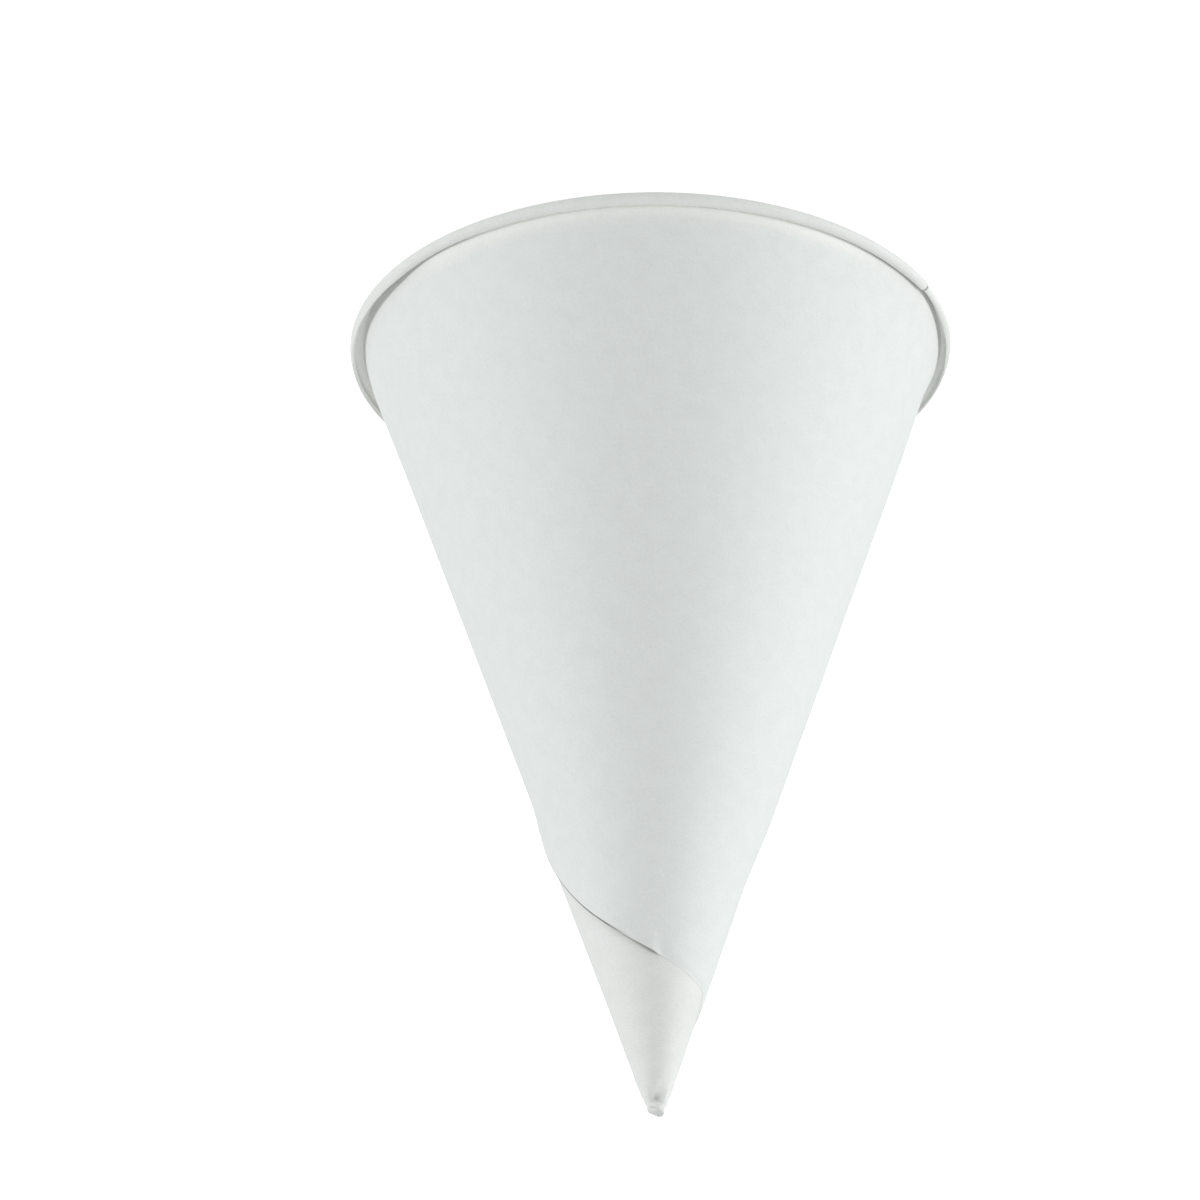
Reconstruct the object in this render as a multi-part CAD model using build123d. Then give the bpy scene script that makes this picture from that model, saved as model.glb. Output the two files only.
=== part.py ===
from build123d import *
from math import acos, asin, atan2, ceil, cos, degrees, hypot, pi, radians, sin, tan
import os

# A cone paper cup, standing on its rim with the mouth down and the tip up.
# It is one paper blank, wound about 1.6 turns into a cone, glued where the plies
# overlap, with the rim turned outward and rolled into a bead.
# The origin is the centre of the circle that the rim rests on, and +Z runs through the tip.
# Angles are about the axis, in degrees, counter-clockwise from +X as seen from the tip.

# The whole cup
rim_diameter = 86.4
cup_height = 121.9
paper_thickness = 0.25

# The lip: the paper turns under, runs flat for a moment, comes up again outside the wall
# and curls back towards it. The angles are measured round the curl from where it starts.
lip_turn_radius = 0.9
lip_land = 0.36
lip_curl_radius = 0.8
lip_curl_angle = 112.0
second_edge_setback = 15.0

# The tip: pressed blunt, so the cup stops short of the cone's own point
tip_blunting = 2.4
tip_crown_diameter = 0.3
tip_plug_depth = 3.6
tip_dent_radius = 1.5
tip_dent_depth = 0.4
tip_dent_drop = 2.7
tip_dent_angle = 265.0

# The blank: its leading edge is inside the cup, its trailing edge is a straight cut outside
leading_edge_angle = 204.0
climb_angle = 24.0
climb_foot_sink = 0.4
cut_distance = 20.2
cut_foot_angle = 166.5
cut_corner_angle = 192.0
cut_corner_height = 2.0

# The stretch of the trailing edge that the glue misses, so it stands off the ply under it.
# It is made of wedges that start just under the glued faces and run on past the cut.
loose_start_angle = 258.0
loose_end_gap = 20.0
loose_width = 9.0
loose_lift = 0.45
loose_root_sink = 0.05
loose_edge_sink = 0.025
loose_overrun = 1.0

# The nick where the leading edge is rolled into the lip
nick_width = 0.7
nick_depth = 0.5

# The curved patches run through flat sections set this many degrees apart,
# and each bend of the lip is made of flats that turn by no more than this
climb_step = 4.0
cut_step = 5.0
flat_step = 23.0

# Sizes that follow from those above
rim_radius = rim_diameter / 2
glue_depth = paper_thickness / 2
outside_point_height = cup_height + tip_blunting
lip_turn_centre = rim_radius - lip_turn_radius - lip_land
turn_to_point = hypot(lip_turn_centre, outside_point_height - lip_turn_radius)
half_angle = (
    atan2(lip_turn_centre, outside_point_height - lip_turn_radius)
    - asin((lip_turn_radius - paper_thickness) / turn_to_point)
)
inside_point_height = outside_point_height - paper_thickness / sin(half_angle)
half_turn_in_degrees = degrees(half_angle)

# The round of the tip, tangent to the wall and to the flat crown on top of it
tip_round = (tip_blunting * tan(half_angle) - tip_crown_diameter / 2) / (
    cos(half_angle) - (1 - sin(half_angle)) * tan(half_angle)
)

# The stretch of the wall, as slant distances down from the inside point of the cone
wall_end = (
    (inside_point_height - lip_turn_radius) * cos(half_angle)
    + lip_turn_centre * sin(half_angle)
)
plug_end = (tip_blunting + tip_plug_depth) / cos(half_angle)
ply_start = tip_blunting + tip_round

# The straight cut ends at a corner of the blank just above the lip, at this angle
trailing_edge_angle = (
    cut_foot_angle + degrees(acos(cut_distance / (wall_end - cut_corner_height))) / sin(half_angle)
)
loose_end_angle = trailing_edge_angle - loose_end_gap


def on_section(slant, depth):
    """Radius and height of a point of the wall: slant from the inside point, depth out from the inside face."""
    radius = slant * sin(half_angle) + depth * cos(half_angle)
    height = inside_point_height - slant * cos(half_angle) + depth * sin(half_angle)
    return radius, height


def flats(bend):
    """A bend as equal flats between points of its arc."""
    count = ceil((bend % 0).get_angle(bend % 1) / flat_step)
    return Polyline(*[bend @ (i / count) for i in range(count + 1)])


def paper_line(slant, depth, curl_angle):
    """The wall from a slant distance down, then the lip up to its free edge, a depth into the paper."""
    wall = Line(on_section(slant, depth), on_section(wall_end, depth))
    turn = JernArc(wall @ 1, wall % 1, lip_turn_radius - depth, 90 - half_turn_in_degrees)
    land = Line(turn @ 1, (turn @ 1) + Vector(lip_land, 0))
    rise = JernArc(land @ 1, land % 1, lip_turn_radius - depth, 90)
    curl = JernArc(rise @ 1, rise % 1, lip_curl_radius - depth, curl_angle)
    return [wall, flats(turn), land, flats(rise), flats(curl)]


def first_ply_section():
    """Half section of the first ply, which goes all the way round: blunt tip, wall and lip."""
    shoulder_height = cup_height - tip_round * (1 - sin(half_angle))
    shoulder = (
        inside_point_height + paper_thickness * sin(half_angle) - shoulder_height
    ) / cos(half_angle)
    outside = paper_line(shoulder, paper_thickness, lip_curl_angle)
    inside = paper_line(plug_end, 0, lip_curl_angle)
    edge = Line(outside[-1] @ 1, inside[-1] @ 1)
    plug_face = Line(inside[0] @ 0, (0, cup_height - tip_plug_depth))
    nose = JernArc(outside[0] @ 0, (outside[0] % 0) * -1, tip_round, 90 - half_turn_in_degrees)
    crown = Line(nose @ 1, (0, cup_height))
    axis = Line(plug_face @ 1, crown @ 1)
    return Plane.XZ * make_face([*outside, edge, *inside, plug_face, axis, crown, nose])


def second_ply_section():
    """Half section of the second ply, rooted in the first, which it is glued to."""
    curl_angle = lip_curl_angle - second_edge_setback
    outside = paper_line(ply_start, 2 * paper_thickness, curl_angle)
    inside = paper_line(ply_start, glue_depth, curl_angle)
    edge = Line(outside[-1] @ 1, inside[-1] @ 1)
    top = Line(outside[0] @ 0, inside[0] @ 0)
    return Plane.XZ * make_face([*outside, edge, *inside, top])


def wall_patch(angle, upper, lower):
    """Flat four-sided face through the wall at an angle. Each end is a slant and its two depths."""
    corners = [
        on_section(upper[0], upper[1]),
        on_section(lower[0], lower[1]),
        on_section(lower[0], lower[2]),
        on_section(upper[0], upper[2]),
    ]
    return Plane.XZ.rotated((0, 0, angle)) * make_face(Polyline(*corners, close=True))


def angles_between(first, last, step):
    """Angles from first to last, evenly spaced and about a step apart."""
    count = round(abs(last - first) / step)
    return [first + (last - first) * i / count for i in range(count + 1)]


def climb_angles():
    """Angles of the sections through the climb, from its foot to the leading edge."""
    return angles_between(leading_edge_angle - climb_angle, leading_edge_angle, climb_step)


def climb_lift(angle):
    """How far the paper stands off the first turn on its way up to the leading edge, from just under it."""
    share = 1 + (angle - leading_edge_angle) / climb_angle
    return paper_thickness * (share - climb_foot_sink * (1 - share))


def climb():
    """The second turn of the paper climbing onto the leading edge, as a ramp outside the first ply."""
    patches = []
    for angle in climb_angles():
        depths = (glue_depth, paper_thickness + climb_lift(angle))
        patches.append(wall_patch(angle, (ply_start, *depths), (wall_end, *depths)))
    return loft(patches)


def leading_edge_step():
    """The hollow inside the cup beside the leading edge, where the next turn stands off by one ply."""
    patches = []
    for angle in climb_angles():
        depths = (-2 * paper_thickness, climb_lift(angle))
        patches.append(wall_patch(angle, (cut_distance, *depths), (wall_end + lip_turn_radius, *depths)))
    return loft(patches)


def cut_slant(angle):
    """Where the straight cut crosses the wall at an angle, as a slant distance."""
    return cut_distance / cos(radians(angle - cut_foot_angle) * sin(half_angle))


def looseness(angle):
    """How free the trailing edge is at an angle, from 0 where it is glued down to 1 where it lifts most."""
    share = (angle - loose_start_angle) / (loose_end_angle - loose_start_angle)
    return sin(pi * min(max(share, 0), 1)) ** 2


def below_cut():
    """All that the straight cut leaves off the second ply."""
    patches = []
    depths = (0, 2 * (paper_thickness + loose_lift))
    for angle in angles_between(cut_corner_angle, trailing_edge_angle + cut_step, cut_step):
        patches.append(wall_patch(angle, (tip_blunting, *depths), (cut_slant(angle), *depths)))
    return loft(patches, ruled=True)


def wedge_along_cut(inner_depth, root_depth, edge_depth):
    """A wedge along the loose stretch of the cut. Its outer face rises off one depth at its root
    and off another at the cut, where it lifts by as much as the margin does."""
    patches = []
    for angle in angles_between(loose_start_angle, loose_end_angle, cut_step):
        root = cut_slant(angle) + loose_width
        end = cut_slant(angle) - loose_overrun
        lifted_depth = edge_depth - loose_edge_sink + loose_lift * looseness(angle)
        upper = (root, inner_depth, root_depth - loose_root_sink)
        lower = (end, inner_depth, lifted_depth)
        patches.append(wall_patch(angle, upper, lower))
    return loft(patches, ruled=True)


def raised_margin():
    """The paper of the loose margin, lifted out of the second ply."""
    outer_face = 2 * paper_thickness
    return wedge_along_cut(glue_depth + loose_edge_sink, outer_face, outer_face)


def gap_under_margin():
    """The gap between the loose margin and the first ply. It opens from inside the glue."""
    return wedge_along_cut(-glue_depth, glue_depth, paper_thickness)


def nick():
    """The notch in the free edge of the lip, at the rolled-in end of the leading edge."""
    curl_centre = rim_radius - lip_curl_radius
    lip_top = lip_turn_radius + lip_curl_radius
    notch = Box(lip_curl_radius, nick_width, 2 * nick_depth)
    return Rot(0, 0, leading_edge_angle) * Pos(curl_centre, 0, lip_top) * notch


def tip_dent():
    """The ball that leaves the crumpled dent in the side of the pressed tip."""
    height = cup_height - tip_dent_drop
    surface_radius = (outside_point_height - height) * tan(half_angle)
    reach = surface_radius + tip_dent_radius - tip_dent_depth
    return Rot(0, 0, tip_dent_angle) * Pos(reach, 0, height) * Sphere(tip_dent_radius)


def first_ply():
    """The turn of paper that goes all the way round, with its pressed tip and the nick in its lip."""
    turn = revolve(first_ply_section(), Axis.Z, 360)
    return turn - tip_dent() - nick()


def second_ply():
    """The overlapping turn, from its climb beside the leading edge to its straight-cut trailing edge."""
    overlap = trailing_edge_angle - leading_edge_angle
    turn = revolve(second_ply_section(), Axis.Z, overlap)
    turn = Rot(0, 0, leading_edge_angle) * turn
    return turn + climb() + raised_margin() - below_cut() - gap_under_margin()


def paper_cone_cup():
    """The whole cup as one solid."""
    return first_ply() + second_ply() - leading_edge_step()


cup = paper_cone_cup()
os.makedirs("parts", exist_ok=True)
export_step(cup, "parts/paper_cone_cup.step")
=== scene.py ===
import math

import bpy
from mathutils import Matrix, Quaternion, Vector, noise


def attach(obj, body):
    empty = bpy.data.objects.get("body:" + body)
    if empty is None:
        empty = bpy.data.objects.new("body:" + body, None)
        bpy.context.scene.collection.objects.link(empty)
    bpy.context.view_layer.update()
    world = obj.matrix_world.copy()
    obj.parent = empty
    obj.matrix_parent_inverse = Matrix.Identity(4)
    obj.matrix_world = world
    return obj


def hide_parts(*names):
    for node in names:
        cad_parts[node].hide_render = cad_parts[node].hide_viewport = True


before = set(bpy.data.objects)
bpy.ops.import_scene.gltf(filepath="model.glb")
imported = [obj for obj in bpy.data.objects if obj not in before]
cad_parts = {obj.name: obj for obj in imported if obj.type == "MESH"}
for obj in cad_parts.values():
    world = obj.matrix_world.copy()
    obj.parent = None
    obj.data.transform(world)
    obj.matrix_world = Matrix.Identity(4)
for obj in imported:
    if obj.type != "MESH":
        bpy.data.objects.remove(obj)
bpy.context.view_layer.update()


# The cup: one blank of white cup paper, wound a little over one and a half times round a
# cone-shaped mandrel and glued where the plies overlap. The glue misses a stretch along the
# straight-cut end. The tip is pressed blunt, and the blank's rim is rolled outward into a bead.

# Sizes are in millimetres. An angle is in degrees about the axis, counter-clockwise from +X.
# A turn is the angle that the paper has been wound through since its leading edge, and a
# slant is a distance down the wall from the cone's point.
paper = 0.25
between_plies = 0.012
cone_point = 123.512
half_angle = math.radians(18.486)
wall_foot = 129.58
leading_edge = 204.0
climb = 24.0

# The blank's short end runs from the tip to a corner, and its straight cut from there to the
# rim. Near the tip both of its ends lean back, by up to an angle over a length of slant.
corner_turn = 348
last_turn = 577.6
corner_slant = 20.40
cut_distance = 20.2
cut_foot = 166.5
end_lean, end_lean_run = 80.0, 13.0

# The margin along the straight cut that the glue has missed. It stands off most near the
# corner, and keeps less of that further on. The glued margins are pressed thin instead.
loose_width = 9.0
loose_lift = 0.50
loose_lift_lost = 0.30
pressed_away = 0.88


def ease(low, high, value):
    """0 below low, 1 above high, and a smooth rise between them."""
    share = min(max((value - low) / (high - low), 0.0), 1.0)
    return share * share * (3 - 2 * share)


def band(rise, fall, value):
    """1 between a smooth rise and a smooth fall, each given by its two ends."""
    return ease(*rise, value) * (1 - ease(*fall, value))


def hump(middle, width, value):
    """1 in the middle, falling smoothly to 0 at a width on either side."""
    return 1 - ease(0.0, width, abs(value - middle))


def apart(angle, middle):
    """Signed distance between two angles, from -180 to 180."""
    return (angle - middle + 180) % 360 - 180


def round_the_rim(angle, values):
    """A value that runs smoothly through the ones given for angles round the rim."""
    spots = sorted(values)
    for here, after in zip(spots, spots[1:] + [spots[0] + 360]):
        gone = (angle - here) % 360
        if gone <= after - here:
            share = ease(0.0, after - here, gone)
            return values[here] * (1 - share) + values[after % 360] * share


def cut_angle(turn):
    """Angle of a spot near the straight cut, counted on past 360 degrees."""
    return leading_edge + turn - 360


def cut_slant(turn):
    """How far from the cone's point the straight cut crosses the wall."""
    flat = math.radians(cut_angle(turn) - cut_foot) * math.sin(half_angle)
    return cut_distance / math.cos(flat)


def lead_shift(slant):
    """How much earlier the leading edge starts near the tip than at the rim."""
    return -climb * (1 - ease(22.0, 60.0, slant))


def angle_at(turn, slant):
    """Angle round the cup of a spot on the blank."""
    leaning = min(max((corner_slant - slant) / end_lean_run, 0.0), 1.0)
    near_end = max(1 - turn / 120, 0.0) + ease(200.0, corner_turn, turn)
    shifted = lead_shift(slant) * max(1 - turn / 36, 0.0)
    return leading_edge + turn - end_lean * leaning * near_end + shifted


def stand_off(turn, slant):
    """How far the paper's inner face stands off the mandrel: a ply more over its own start."""
    over = 360 + lead_shift(slant)
    return (paper + between_plies) * ease(over - climb, over, turn)


def loose_gap(turn, slant):
    """How far the margin along the straight cut stands off the ply under it."""
    if turn < corner_turn:
        return 0.0
    angle = cut_angle(turn)
    edge = cut_slant(turn)
    width = min(loose_width, 0.8 * (wall_foot - edge))
    bent = 1 - min(max((slant - edge) / width, 0.0), 1.0)
    most = loose_lift * ease(262.0, 274.0, angle) - loose_lift_lost * ease(296.0, 350.0, angle)
    return most * (1 - ease(372.0, 420.0, angle)) * bent * bent


def pressed_thin(turn, slant):
    """How much of its thickness the outer ply keeps beside its glued ends."""
    near_end = ease(330, corner_turn, turn)
    if slant >= corner_slant:
        near_end *= 1 - ease(258.0, 270.0, cut_angle(turn))
        near_end *= 1 - ease(0.0, 1.3, slant - cut_slant(turn))
    return 1 - pressed_away * near_end


# The nose: a flat crown, a tight corner, and then the wall
tip_height = 121.9
crown_radius = 0.66
corner_radius = 0.32


def nose_spot(share, depth):
    """Radius and height of a spot on the nose, from the crown's middle at 0 to the wall at 1.

    The first half of the way is the crown, and the other half is the corner."""
    if share < 0.5:
        return crown_radius * share * 2, tip_height - paper + depth
    bend = (math.pi / 2 - half_angle) * (share * 2 - 1)
    reach = corner_radius - paper + depth
    radius = crown_radius + reach * math.sin(bend)
    return radius, tip_height - corner_radius + reach * math.cos(bend)


def wall_spot(slant, depth):
    """Radius and height of a spot in the wall."""
    radius = slant * math.sin(half_angle) + depth * math.cos(half_angle)
    return radius, cone_point - slant * math.cos(half_angle) + depth * math.sin(half_angle)


# How far the wall's foot stands outward, at angles round the rim. It does so where the bead
# closes on it and over the leading edge, and it is pushed in at one side.
foot_flare = {
    0: -0.32, 26: 0, 150: 0, 172: 0.40, 188: 0.34, 206: 0.50, 224: 0.22, 305: 0.20,
    318: 0.28, 326: 0.08, 333: 0, 342: -0.05,
}


def flare(height, angle):
    """How far the wall stands outward at a height above its foot's lowest point."""
    return round_the_rim(angle, foot_flare) * (1 - ease(1.2, 5.0, height))


# The bead: down to its crest, flat for a moment, up outside the wall and back towards it.
# How tightly and how far it curls at the end changes round the rim.
bead_length = 5.4
bead_radius = 0.9
bead_swell = 0.2
crest_start, crest_end = 41.94, 42.30
curl_radius = {
    0: 2.0, 20: 2.0, 45: 1.2, 75: 0.88, 125: 0.85, 142: 1.2, 160: 1.2, 172: 0.9, 180: 0.8,
    222: 0.8, 245: 0.86, 300: 0.86, 314: 0.8, 320: 0.82, 325: 0.95, 330: 1.25, 337: 1.5,
    350: 1.9,
}
curl_angle = {
    0: 33, 20: 34, 45: 62, 75: 92, 125: 90, 142: 40, 160: 38, 171: 58, 180: 86, 193: 108,
    201: 104, 206: 102, 215: 130, 223: 146, 245: 150, 300: 150, 314: 138, 320: 120, 325: 95,
    330: 67, 337: 52, 350: 36,
}

# The shares of the bead's length at which its crest starts, its rise starts and its curl starts
crest_share, rise_share, curl_share = 0.28, 0.34, 0.62


def bead_spot(share, depth, turn):
    """Radius and height of a spot in the bead, from the foot of the wall to the free edge."""
    angle = leading_edge + turn
    swell = bead_swell * hump(0.0, 26.0, apart(angle, 200.0))
    reach = bead_radius - depth
    if share <= crest_share:
        bend = half_angle + (math.pi / 2 - half_angle) * share / crest_share
        pushed = flare(bead_radius, angle) * (1 - ease(0.0, crest_share, share))
        return crest_start - reach * math.cos(bend) + pushed, bead_radius - reach * math.sin(bend)
    if share <= rise_share:
        along = (share - crest_share) / (rise_share - crest_share)
        return crest_start + (crest_end - crest_start) * along, depth
    if share <= curl_share:
        bend = math.pi / 2 * (share - rise_share) / (curl_share - rise_share)
        return crest_end + (reach + swell) * math.sin(bend), bead_radius - reach * math.cos(bend)

    # The second round curls a little less far than the first. The very start of the leading
    # edge curls much less, which leaves a nick in the lip.
    far = round_the_rim(angle, curl_angle)
    far -= 7 * ease(300, 360, turn) + 28 * (1 - ease(0.3, 0.8, turn))
    bend = math.radians(far) * (share - curl_share) / (1 - curl_share)
    tight = round_the_rim(angle, curl_radius)
    middle = crest_end + bead_radius + swell - tight
    reach = tight - depth
    return middle + reach * math.cos(bend), bead_radius + reach * math.sin(bend)


# How the finished cup departs from a true cone: the tip is crumpled, sloped and pushed aside,
# with a dent beside its crown, and the wall is sprung out over the start of the loose margin
crumpled = 0.17
crown_slope = 0.34
tip_aside = 0.55
foot_aside = 0.13
sprung_out, sprung_angle = 0.36, 6.0
dent_depth, dent_angle = 0.72, 266.0

# The crumples are the same each time, because their seed is
noise.seed_set(6)


def crumple(spot, amount):
    """A small shove of the crumpled paper, the same for both of its faces."""
    coarse = Vector(noise.noise_vector(spot * 0.9))
    fine = Vector(noise.noise_vector(spot * 2.1 + Vector((7, 3, 1))))
    return (coarse + fine * 0.45) * amount


def pressed(angle, radius, height, base):
    """The paper's final place: pressed askew at the tip, dented beside it, uneven everywhere.

    The base is the place of the first ply's outside, which both faces are pushed about with."""
    turn = math.radians(angle)
    outward = Vector((math.cos(turn), math.sin(turn), 0))
    spot = outward * radius + Vector((0, 0, height))
    under = outward * base[0] + Vector((0, 0, base[1]))

    near_tip = ease(112.0, 120.5, under.z)
    on_crown = ease(118.5, 121.5, under.z)
    spot += crumple(under, crumpled) * near_tip
    spot.z -= 0.12 * near_tip + max(crown_slope * (under.x + 0.55), 0.0) * on_crown
    spot.x += tip_aside * ease(76.0, 88.0, under.z) - foot_aside * ease(2.0, 20.0, under.z)

    sprung = hump(0.0, 55.0, apart(angle, sprung_angle))
    sprung *= band((72.5, 77.5), (79.0, 88.0), under.z)
    dent = hump(0.0, 56.0, apart(angle, dent_angle))
    dent *= band((118.3, 120.3), (120.4, 120.95), under.z)
    swollen = 0.08 * ease(2.0, 20.0, under.z) + 0.17 * ease(104.0, 119.0, under.z)
    slow = noise.noise(Vector((outward.x * 1.3, outward.y * 1.3, under.z * 0.018)))
    uneven = 0.10 * slow * ease(6.0, 20.0, under.z) * (1 - near_tip)
    return spot + outward * (swollen + uneven + sprung_out * sprung - dent_depth * dent)


# The sheet: columns of spots along the blank, from the leading edge to the trailing end, and
# rows of them from the crown of the tip to the free edge of the bead
nose_rows = 8
tip_rows = 26
wall_rows = 52
bead_rows = 28
cut_row = nose_rows + tip_rows
foot_row = cut_row + wall_rows
rim_row = foot_row + bead_rows
wall_start = (cone_point - nose_spot(1.0, 0.0)[1]) / math.cos(half_angle)

turns = [0, 0.35, 0.7, 1.1, 1.6, *range(2, int(last_turn), 2), last_turn]
corner_column = turns.index(corner_turn)
last_column = len(turns) - 1


def slant_of(turn, row):
    """How far a row of the wall is from the cone's point. The rows close up at its ends."""
    if row <= nose_rows:
        return wall_start * row / nose_rows
    if row <= cut_row and turn <= corner_turn:
        share = (row - nose_rows) / tip_rows
        return wall_start + (corner_slant - wall_start) * share ** 2
    start = corner_slant if turn <= corner_turn else cut_slant(turn)
    step = (1 - math.cos(math.pi * min((row - cut_row) / wall_rows, 1.0))) / 2
    return start + (wall_foot - start) * step


def place(turn, row, depth):
    """Where a spot of the paper is on the finished cup."""
    slant = slant_of(turn, row)
    off_nose = 0.5 + 0.5 * ease(wall_start, wall_start + 4.0, slant)
    depth *= pressed_thin(turn, slant)
    depth += stand_off(turn, slant) * off_nose + loose_gap(turn, slant)
    if row <= nose_rows:
        share = row / nose_rows
        radius, height = nose_spot(share, depth)
        base = nose_spot(share, paper)
    elif row <= foot_row:
        radius, height = wall_spot(slant, depth)
        radius += flare(height, leading_edge + turn)
        base = wall_spot(slant, paper)
    else:
        radius, height = bead_spot((row - foot_row) / bead_rows, depth, turn)
        base = (radius, height)
    return pressed(angle_at(turn, slant), radius, height, base)


# The mesh also carries the blank's own flat map, ten to the metre, for the grain of the paper,
# and marks from 0 to 1 for what shows in one place only. The straight cut is tilted on the map.
map_scale = 0.01
cut_tilt = math.radians(leading_edge - cut_foot) * math.sin(half_angle)
strip_middle = 272.0


def painted_edge_shade(column, row, side):
    """How much painted shade darkens the outer ply right at the loose cut, and the paper where
    the leading edge nicks the bead.
    """
    if column > corner_column and row in (cut_row, cut_row + 1):
        along = band((288, 312), (375, 395), cut_angle(turns[column]))
        return along if side == "outside" else 0.0
    if turns[column] < 0.5 and row >= rim_row - 8:
        return 0.9 - turns[column]
    return 0.0


spots, on_blank, number = [], [], {}
marks = {"outer_ply": [], "painted_highlight_strip": [], "painted_dent_shade": [], "painted_shadow_beside_cut": []}
marks["painted_edge_shade"] = []
for side, depth in (("outside", paper), ("inside", 0.0)):
    shown = float(side == "outside")
    for column, turn in enumerate(turns):
        for row in range(0 if column <= corner_column else cut_row, rim_row + 1):
            if row == 0 and column > 0:
                number[side, column, 0] = number[side, 0, 0]
                continue
            number[side, column, row] = len(spots)
            spots.append(place(turn, row, depth) * 0.001)

            slant = slant_of(turn, row)
            flat = math.radians(turn) * math.sin(half_angle)
            run = slant + bead_length * max(row - foot_row, 0) / bead_rows
            on_blank.append(
                (run * math.cos(flat) * map_scale, run * math.sin(flat) * map_scale)
            )

            outer = ease(214, 220, turn) * band((19.5, 20.3), (127.0, 127.8), run)
            # A painted highlight on the strip of wall just above the bead, where the wall turns
            # towards the light
            strip = band((126.8, 127.8), (129.2, 129.8), run)
            strip *= 1 - ease(40.0, 58.0, abs(apart(leading_edge + turn, strip_middle)))
            # Painted shade in the dent beside the crown of the tip
            dent_shade = hump(0.0, 44.0, apart(angle_at(turn, slant), dent_angle))
            dent_shade *= hump(119.95, 0.85, spots[-1].z * 1000)
            # Painted shadow on the first ply beside the loose cut, under the lifted margin
            beside = band((60, 68), (130, 190), turn)
            beside *= 1 - ease(20.8, 21.6, run * math.cos(flat + cut_tilt))
            marks["outer_ply"].append(shown * outer)
            marks["painted_highlight_strip"].append(shown * strip)
            marks["painted_dent_shade"].append(shown * 0.6 * dent_shade)
            marks["painted_shadow_beside_cut"].append(shown * 0.6 * beside)
            marks["painted_edge_shade"].append(painted_edge_shade(column, row, side))

faces = []
for column in range(last_column):
    for row in range(0 if column < corner_column else cut_row, rim_row):
        for side in ("outside", "inside"):
            corners = [
                number[side, column, row],
                number[side, column, row + 1],
                number[side, column + 1, row + 1],
                number[side, column + 1, row],
            ]
            if row == 0:
                corners.pop()
            faces.append(corners if side == "outside" else corners[::-1])
face_count = len(faces)


def cut_face_shade(column, row):
    """How much painted shade darkens the cut face of the paper: along the loose margin, and at
    the nick.
    """
    if column == 0:
        return 0.8 * ease(foot_row + 18, foot_row + 20, row)
    if row == cut_row:
        return 0.85 * band((262, 270), (380, 410), cut_angle(turns[column]))
    return 0.0


cut_face_shades = []


def cut_edge(path):
    """The thickness of the paper along one of its edges, as a strip of faces."""
    for here, after in zip(path, path[1:]):
        outer = [number["outside", *here], number["outside", *after]]
        faces.append(outer + [number["inside", *after], number["inside", *here]])
        cut_face_shades.append(cut_face_shade(*here))


cut_edge([(0, row) for row in range(rim_row, -1, -1)])
cut_edge([(corner_column, row) for row in range(0, cut_row + 1)])
cut_edge([(column, cut_row) for column in range(corner_column, last_column + 1)])
cut_edge([(last_column, row) for row in range(cut_row, rim_row + 1)])
cut_edge([(column, rim_row) for column in range(last_column, -1, -1)])

sheet = bpy.data.meshes.new("paper_cup")
sheet.from_pydata(spots, [], faces)
sheet.update()
blank_map = sheet.uv_layers.new(name="blank")
for loop in sheet.loops:
    blank_map.data[loop.index].uv = on_blank[loop.vertex_index]
for name, values in marks.items():
    sheet.attributes.new(name, "FLOAT", "POINT").data.foreach_set("value", values)
no_edge = [0.0] * face_count
for name, values in (("painted_shade_on_cut_face", cut_face_shades), ("cut_face", [1.0] * len(cut_face_shades))):
    sheet.attributes.new(name, "FLOAT", "FACE").data.foreach_set("value", no_edge + values)

# The paper is smooth, and sharp only where it is cut
kinds = {}
for polygon in sheet.polygons:
    polygon.use_smooth = True
    for key in polygon.edge_keys:
        kinds.setdefault(key, set()).add(polygon.index >= face_count)
sharp = sheet.attributes.new("sharp_edge", "BOOLEAN", "EDGE")
for edge in sheet.edges:
    sharp.data[edge.index].value = len(kinds[edge.key]) == 2

cup_paper = bpy.data.materials.new("cup_paper")
cup_paper.use_nodes = True
nodes, links = cup_paper.node_tree.nodes, cup_paper.node_tree.links
surface = nodes["Principled BSDF"]
surface.inputs["Specular IOR Level"].default_value = 0.3
surface.inputs["Sheen Weight"].default_value = 0.08
surface.inputs["Sheen Roughness"].default_value = 0.6


def blank_place():
    """The place on the blank, from its own flat map."""
    laid = nodes.new("ShaderNodeUVMap")
    laid.uv_map = "blank"
    return laid.outputs["UV"]


def paper_noise(label, scale, stretch, turned, detail):
    """Noise laid in the paper's plane, stretched along one direction of the blank."""
    laid_out = nodes.new("ShaderNodeMapping")
    laid_out.inputs["Rotation"].default_value = (0, 0, math.radians(turned))
    laid_out.inputs["Scale"].default_value = (1, stretch, 1)
    pattern = nodes.new("ShaderNodeTexNoise")
    pattern.label = label
    pattern.inputs["Scale"].default_value = scale
    pattern.inputs["Detail"].default_value = detail
    links.new(blank_place(), laid_out.inputs["Vector"])
    links.new(laid_out.outputs["Vector"], pattern.inputs["Vector"])
    return pattern.outputs["Fac"]


def blend(kind, one, other, share):
    """Mixes two colours, or values, each given as a number, a colour or a socket."""
    mix = nodes.new("ShaderNodeMix")
    mix.data_type = "RGBA"
    mix.blend_type = kind
    for name, value in (("Factor_Float", share), ("A_Color", one), ("B_Color", other)):
        socket = next(each for each in mix.inputs if each.identifier == name)
        if isinstance(value, bpy.types.NodeSocket):
            links.new(value, socket)
        else:
            socket.default_value = value
    return next(each for each in mix.outputs if each.identifier == "Result_Color")


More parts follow.
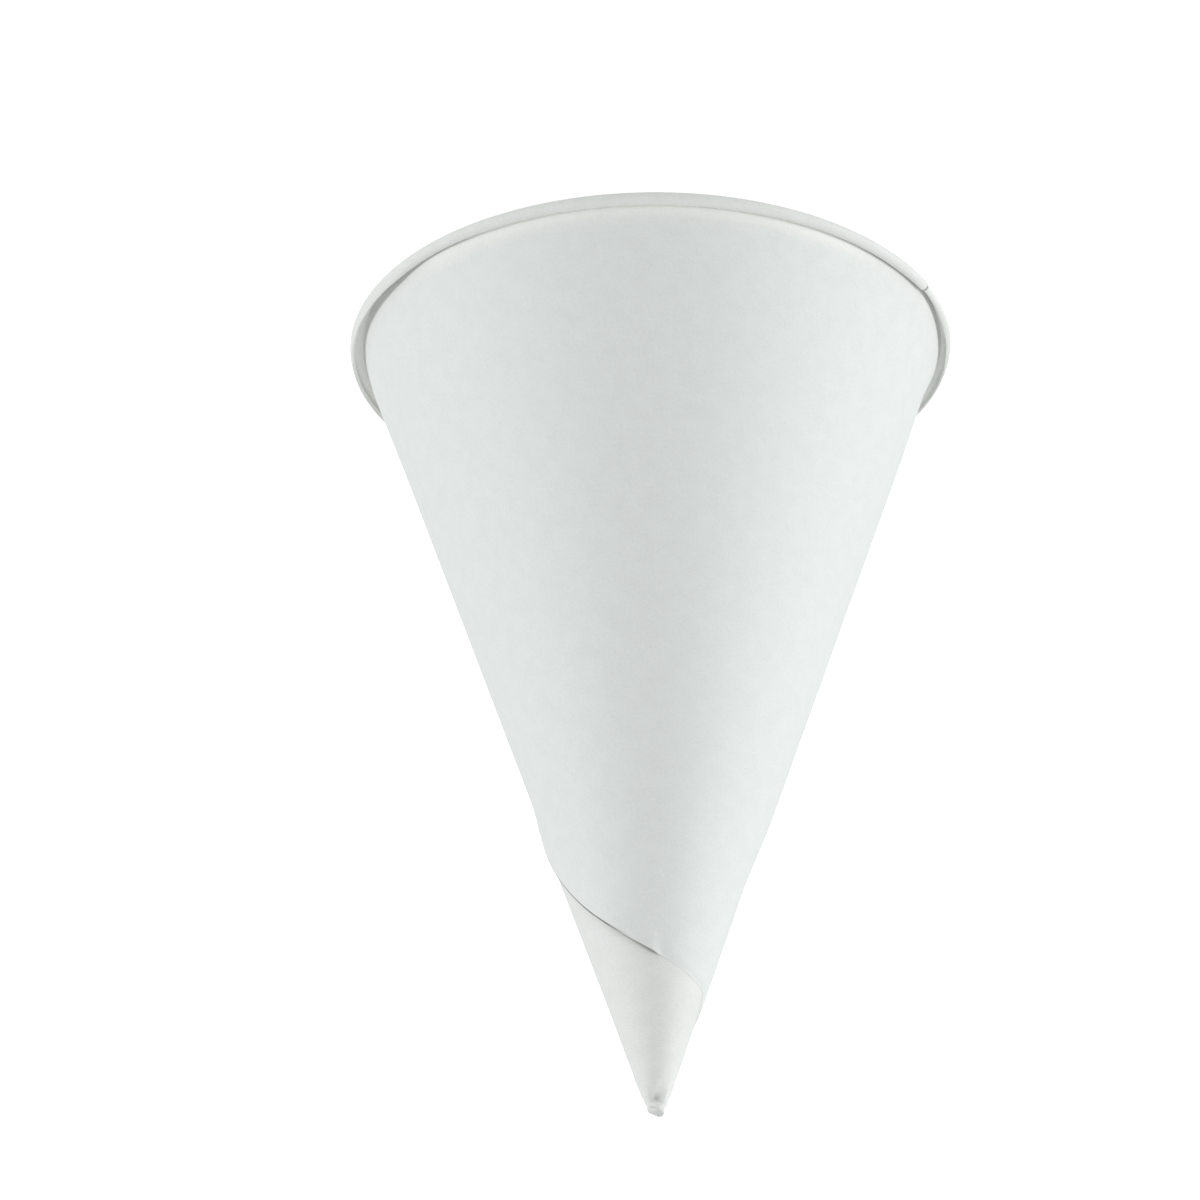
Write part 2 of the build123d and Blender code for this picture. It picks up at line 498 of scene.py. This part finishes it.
def graded(value, low, high, least, most):
    """A value moved from one range to another."""
    ramp = nodes.new("ShaderNodeMapRange")
    ramp.inputs["From Min"].default_value = low
    ramp.inputs["From Max"].default_value = high
    ramp.inputs["To Min"].default_value = least
    ramp.inputs["To Max"].default_value = most
    links.new(value, ramp.inputs["Value"])
    return ramp.outputs["Result"]


def stored(name):
    """A mark that the mesh carries."""
    kept = nodes.new("ShaderNodeAttribute")
    kept.attribute_name = name
    return kept.outputs["Fac"]


first_ply_white = (0.828, 0.835, 0.822, 1)
outer_ply_white = (0.816, 0.836, 0.829, 1)
# Painted highlight for the strip of wall above the bead
strip_highlight_white = (0.92, 0.92, 0.90, 1)
# Painted shade for the dent beside the crown
dent_shade_grey = (0.50, 0.49, 0.50, 1)
cloud_tint = (0.975, 0.975, 0.97, 1)
fibre_tint = (0.972, 0.972, 0.965, 1)
cut_face_cream = (0.87, 0.865, 0.845, 1)
# Painted shade for the loose cut's edge and the ply beside it
painted_shade_grey = (0.26, 0.27, 0.25, 1)
# Painted shade for the outer ply at its loose edge, and at the nick in the bead
edge_shade_grey = (0.11, 0.115, 0.105, 1)

clouds = paper_noise("clouds of the pulp", 38.0, 1.0, 0, 3.0)
along = paper_noise("fibres along the web", 520.0, 0.35, 12, 3.0)
across = paper_noise("fibres across the web", 520.0, 0.35, 98, 3.0)
felt = paper_noise("felt side", 130.0, 0.6, 40, 2.0)

body = blend("MIX", first_ply_white, outer_ply_white, stored("outer_ply"))
# The strip of wall above the bead gets a painted highlight
body = blend("MIX", body, strip_highlight_white, stored("painted_highlight_strip"))
# The dent beside the crown gets painted shade
body = blend("MIX", body, dent_shade_grey, stored("painted_dent_shade"))
body = blend("MULTIPLY", body, cloud_tint, graded(clouds, 0.35, 0.65, 0.0, 1.0))
body = blend("MULTIPLY", body, fibre_tint, graded(along, 0.42, 0.62, 0.0, 1.0))
body = blend("MULTIPLY", body, fibre_tint, graded(across, 0.42, 0.62, 0.0, 1.0))
body = blend("MIX", body, cut_face_cream, stored("cut_face"))
links.new(graded(felt, 0.3, 0.7, 0.74, 0.88), surface.inputs["Roughness"])

# A thin painted shadow on the first ply beside the loose cut, where the lifted margin shades it.
# The cut is straight on the blank, so the line is a distance along one direction of the map.
from_point = nodes.new("ShaderNodeVectorMath")
from_point.operation = "DOT_PRODUCT"
from_point.inputs[1].default_value = (math.cos(cut_tilt), -math.sin(cut_tilt), 0)
links.new(blank_place(), from_point.inputs[0])
line_start = map_scale * (cut_distance - 0.36)
line_full = map_scale * (cut_distance - 0.16)
line = graded(from_point.outputs["Value"], line_start, line_full, 0.0, 1.0)
line = blend("MULTIPLY", line, stored("painted_shadow_beside_cut"), 1.0)
body = blend("MIX", body, painted_shade_grey, line)
# Painted shade on the cut faces along the loose margin and at the nick
body = blend("MIX", body, painted_shade_grey, stored("painted_shade_on_cut_face"))
# Painted shade on the outer ply along its loose edge and at the nick
body = blend("MIX", body, edge_shade_grey, stored("painted_edge_shade"))
links.new(body, surface.inputs["Base Color"])

# The fibres and the felt's mottle stand up by a few hundredths of a millimetre
fibres = nodes.new("ShaderNodeMath")
fibres.operation = "ADD"
links.new(along, fibres.inputs[0])
links.new(across, fibres.inputs[1])
relief = nodes.new("ShaderNodeBump")
relief.inputs["Strength"].default_value = 0.35
relief.inputs["Distance"].default_value = 0.00002
links.new(fibres.outputs[0], relief.inputs["Height"])
mottle = nodes.new("ShaderNodeBump")
mottle.inputs["Strength"].default_value = 0.4
mottle.inputs["Distance"].default_value = 0.00003
links.new(felt, mottle.inputs["Height"])
links.new(relief.outputs["Normal"], mottle.inputs["Normal"])
links.new(mottle.outputs["Normal"], surface.inputs["Normal"])
sheet.materials.append(cup_paper)

cup = bpy.data.objects.new("paper_cup", sheet)
bpy.context.scene.collection.objects.link(cup)
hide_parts("paper_cone_cup")
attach(cup, "root")


# The floor: a plain pale sweep, not part of the object. The camera sees it as white, and it
# keeps the cup's own soft shadow.

floor_mesh = bpy.data.meshes.new("floor")
floor_mesh.from_pydata([(-3, -3, 0), (3, -3, 0), (3, 3, 0), (-3, 3, 0)], [], [(0, 1, 2, 3)])
floor = bpy.data.objects.new("floor", floor_mesh)
bpy.context.scene.collection.objects.link(floor)
floor_white = bpy.data.materials.new("floor_white")
floor_white.use_nodes = True
floor_tree = floor_white.node_tree
floor_surface = floor_tree.nodes["Principled BSDF"]
floor_surface.inputs["Base Color"].default_value = (0.8, 0.8, 0.8, 1)
floor_surface.inputs["Roughness"].default_value = 0.9
floor_surface.inputs["Emission Color"].default_value = (1, 1, 1, 1)


def seen_directly(tree):
    """1 for what is seen straight, mirrored or through glass, and 0 for light on things."""
    ray = tree.nodes.new("ShaderNodeLightPath")
    seen = ray.outputs["Is Camera Ray"]
    for kind in ("Is Glossy Ray", "Is Transmission Ray"):
        either = tree.nodes.new("ShaderNodeMath")
        either.operation = "MAXIMUM"
        tree.links.new(seen, either.inputs[0])
        tree.links.new(ray.outputs[kind], either.inputs[1])
        seen = either.outputs[0]
    return seen


glow = floor_tree.nodes.new("ShaderNodeMath")
glow.operation = "MULTIPLY_ADD"
glow.inputs[1].default_value = 0.70
glow.inputs[2].default_value = 0.05
floor_tree.links.new(seen_directly(floor_tree), glow.inputs[0])
floor_tree.links.new(glow.outputs[0], floor_surface.inputs["Emission Strength"])
floor_mesh.materials.append(floor_white)


# The light: low softboxes at both sides of the cup, a weak one in front, one overhead for the
# crown of the tip and the grooves, and the even light of a white room. Lips and edges keep a
# soft shadow on the tip's side.

scene = bpy.context.scene
room = bpy.data.worlds.new("room")
scene.world = room
room.use_nodes = True
room_tree = room.node_tree
room_light = room_tree.nodes["Background"]
room_light.inputs["Color"].default_value = (1, 1, 1, 1)
brightest = room_tree.nodes.new("ShaderNodeMath")
brightest.operation = "MAXIMUM"
brightest.inputs[1].default_value = 0.35
room_tree.links.new(seen_directly(room_tree), brightest.inputs[0])
room_tree.links.new(brightest.outputs[0], room_light.inputs["Strength"])
cup_middle = Vector((0, 0, 0.06))


def softbox(name, stands_at, width, height, power):
    """A large square lamp that faces the cup."""
    lamp = bpy.data.lights.new(name, "AREA")
    lamp.shape = "RECTANGLE"
    lamp.size, lamp.size_y = width, height
    lamp.energy = power
    lamp.color = (0.97, 1.0, 1.0)
    holder = bpy.data.objects.new(name, lamp)
    holder.location = stands_at
    holder.rotation_mode = "QUATERNION"
    holder.rotation_quaternion = (cup_middle - Vector(stands_at)).to_track_quat("-Z", "Y")
    scene.collection.objects.link(holder)


softbox("softbox_right", (-1.0, -0.06, 0.13), 0.8, 0.22, 5.0)
softbox("softbox_left", (0.98, -0.10, 0.13), 0.7, 0.22, 4.4)
softbox("softbox_front", (-0.40, -1.0, 0.07), 0.5, 0.10, 1.45)
softbox("softbox_top", (0.0, -0.15, 1.1), 0.5, 0.5, 3.1)


# The camera: a long lens a metre away, 28 degrees above the floor. The photograph is turned
# half round, so that the cup hangs tip down in it, and the camera is rolled to match.

camera = bpy.data.cameras.new("camera")
camera.sensor_width = 36.0
camera.lens = 253.0
camera.clip_start, camera.clip_end = 0.05, 20.0
eye = Vector((0.0, -1.05044, 0.60957))
aim = Vector((0.00753, 0.0, 0.04156))
stand = bpy.data.objects.new("camera", camera)
stand.location = eye
stand.rotation_mode = "QUATERNION"
level = (aim - eye).to_track_quat("-Z", "Y")
stand.rotation_quaternion = level @ Quaternion((0, 0, 1), math.radians(179.547))
scene.collection.objects.link(stand)
scene.camera = stand
scene.view_settings.view_transform = "Standard"
